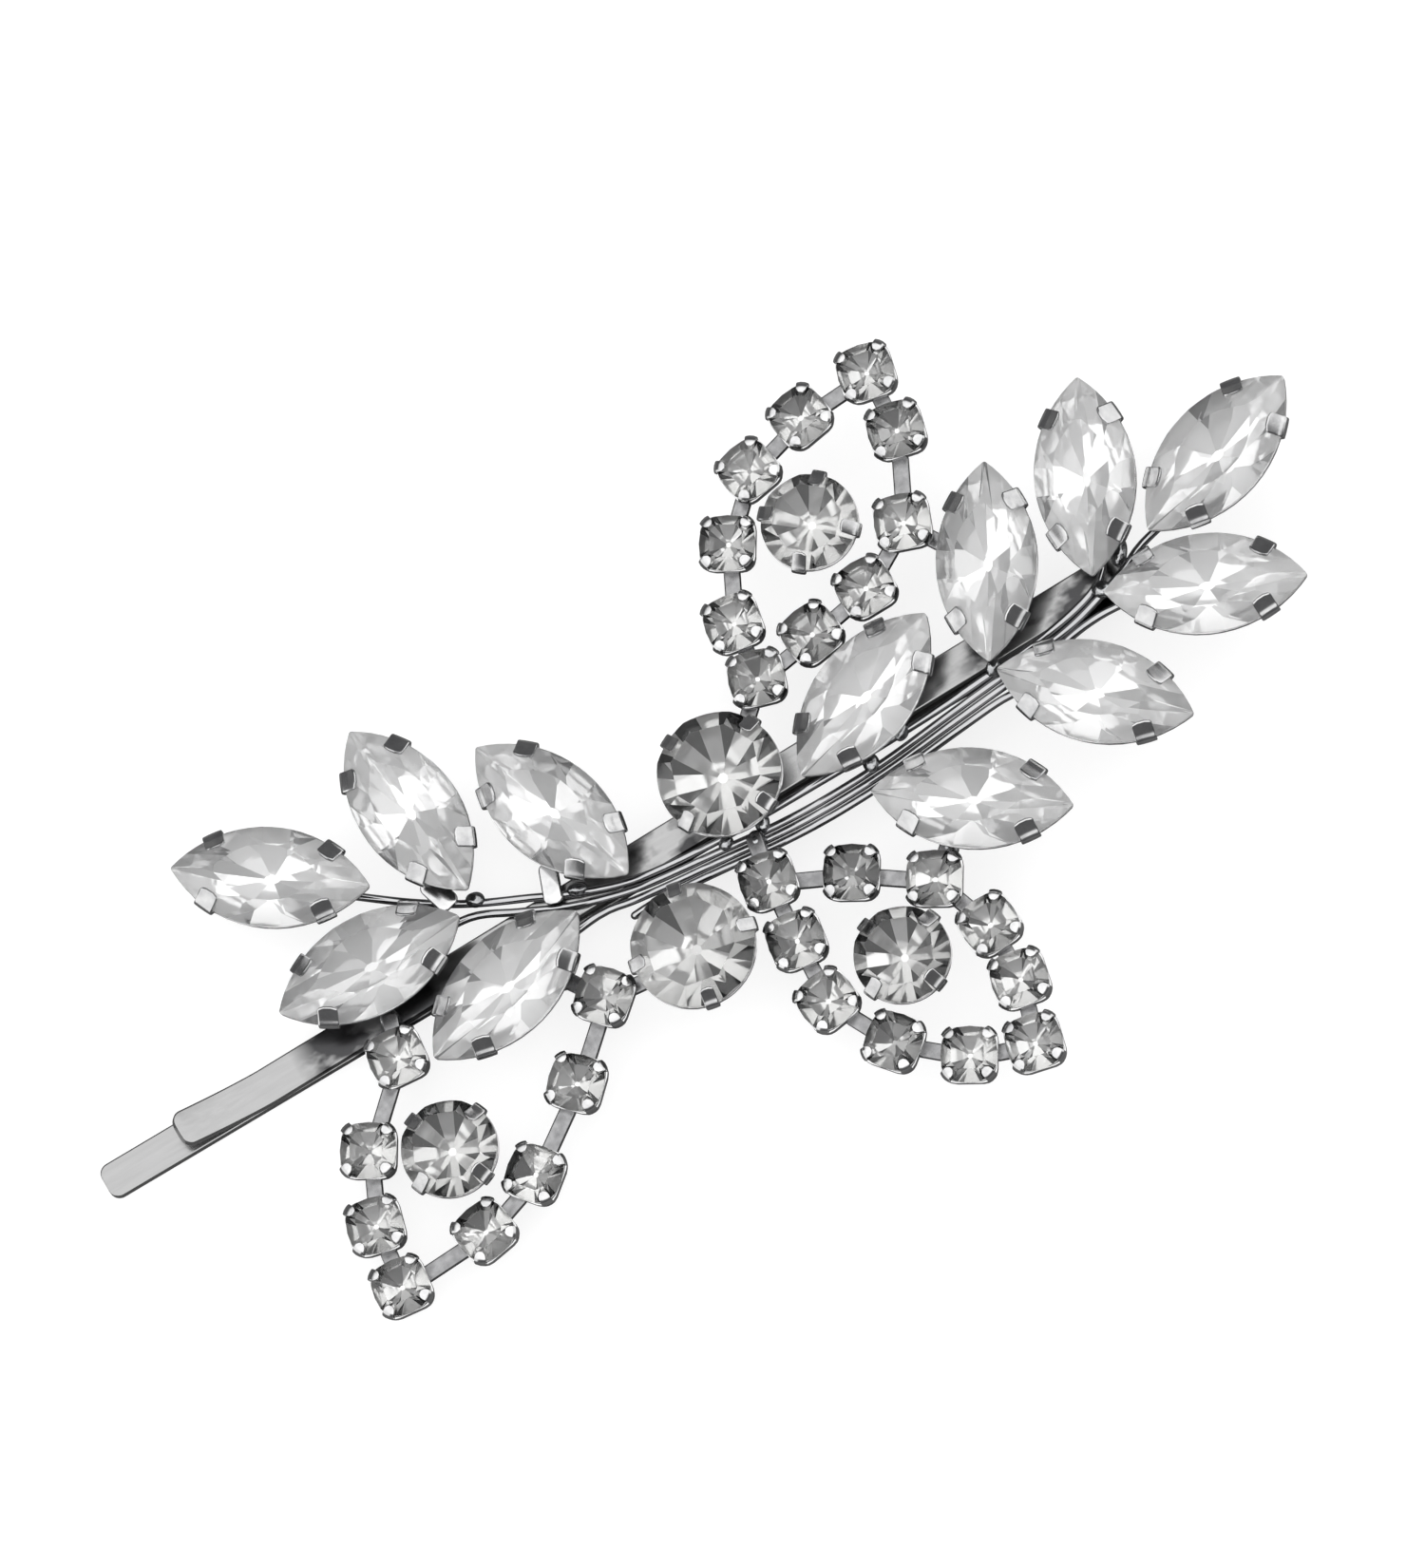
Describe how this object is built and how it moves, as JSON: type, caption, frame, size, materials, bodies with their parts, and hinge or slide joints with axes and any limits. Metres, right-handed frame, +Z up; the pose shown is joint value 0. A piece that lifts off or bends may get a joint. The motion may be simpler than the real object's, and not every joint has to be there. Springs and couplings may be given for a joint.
{
  "type": "rhinestone hair clip",
  "caption": "Sprung two-tine hair grip carrying a spray of claw-set navette and round crystals with three cup-chain loops.",
  "frame": {"origin": "middle of the lower tine's underside, half way along the grip", "axes": "+X along the grip from the tips of the tines to the bend, +Y across it towards the first cup-chain loop, +Z up out of the stones"},
  "size_m": [0.0716, 0.0373, 0.0072],
  "materials": {
    "pin_steel": "nickel-plated spring steel strip, soft mirror",
    "bright_metal": "rhodium-plated brass, pressed and polished",
    "crystal": "faceted clear crystal glass with a silvered back"
  },
  "bodies": {
    "lower_tine": {"lower_tine": "pin_steel", "spring_bend": "pin_steel"},
    "upper_tine": {"upper_tine": "pin_steel", "stem_wire_1": "bright_metal", "stem_wire_2": "bright_metal", "stem_wire_3": "bright_metal", "stem_wire_4": "bright_metal", "navette_tab_07": "bright_metal", "navette_tab_09": "bright_metal", "navette_tab_10": "bright_metal", "large_round_2_tab": "bright_metal", "navette_setting_01": "bright_metal", "navette_stone_01": "crystal", "navette_setting_02": "bright_metal", "navette_stone_02": "crystal", "navette_setting_03": "bright_metal", "navette_stone_03": "crystal", "navette_setting_04": "bright_metal", "navette_stone_04": "crystal", "navette_setting_05": "bright_metal", "navette_stone_05": "crystal", "navette_setting_06": "bright_metal", "navette_stone_06": "crystal", "navette_setting_07": "bright_metal", "navette_stone_07": "crystal", "navette_setting_08": "bright_metal", "navette_stone_08": "crystal", "navette_setting_09": "bright_metal", "navette_stone_09": "crystal", "navette_setting_10": "bright_metal", "navette_stone_10": "crystal", "navette_setting_11": "bright_metal", "navette_stone_11": "crystal", "navette_setting_12": "bright_metal", "navette_stone_12": "crystal", "large_round_1_setting": "bright_metal", "large_round_1_stone": "crystal", "large_round_2_setting": "bright_metal", "large_round_2_stone": "crystal", "loop_a_round_setting": "bright_metal", "loop_a_round_stone": "crystal", "loop_b_round_setting": "bright_metal", "loop_b_round_stone": "crystal", "loop_c_round_setting": "bright_metal", "loop_c_round_stone": "crystal", "cup_chain_a": "bright_metal", "cup_chain_b": "bright_metal", "cup_chain_c": "bright_metal"}
  },
  "joints": [
    {"name": "tine_flex", "type": "hinge", "parent": "lower_tine", "child": "upper_tine", "pos_m": [0.02845, 0, 0.00155], "axis": [0, 1, 0], "range_deg": [0, 10], "stiffness_Nm_per_rad": 0.4, "springref_deg": -4.58}
  ]
}
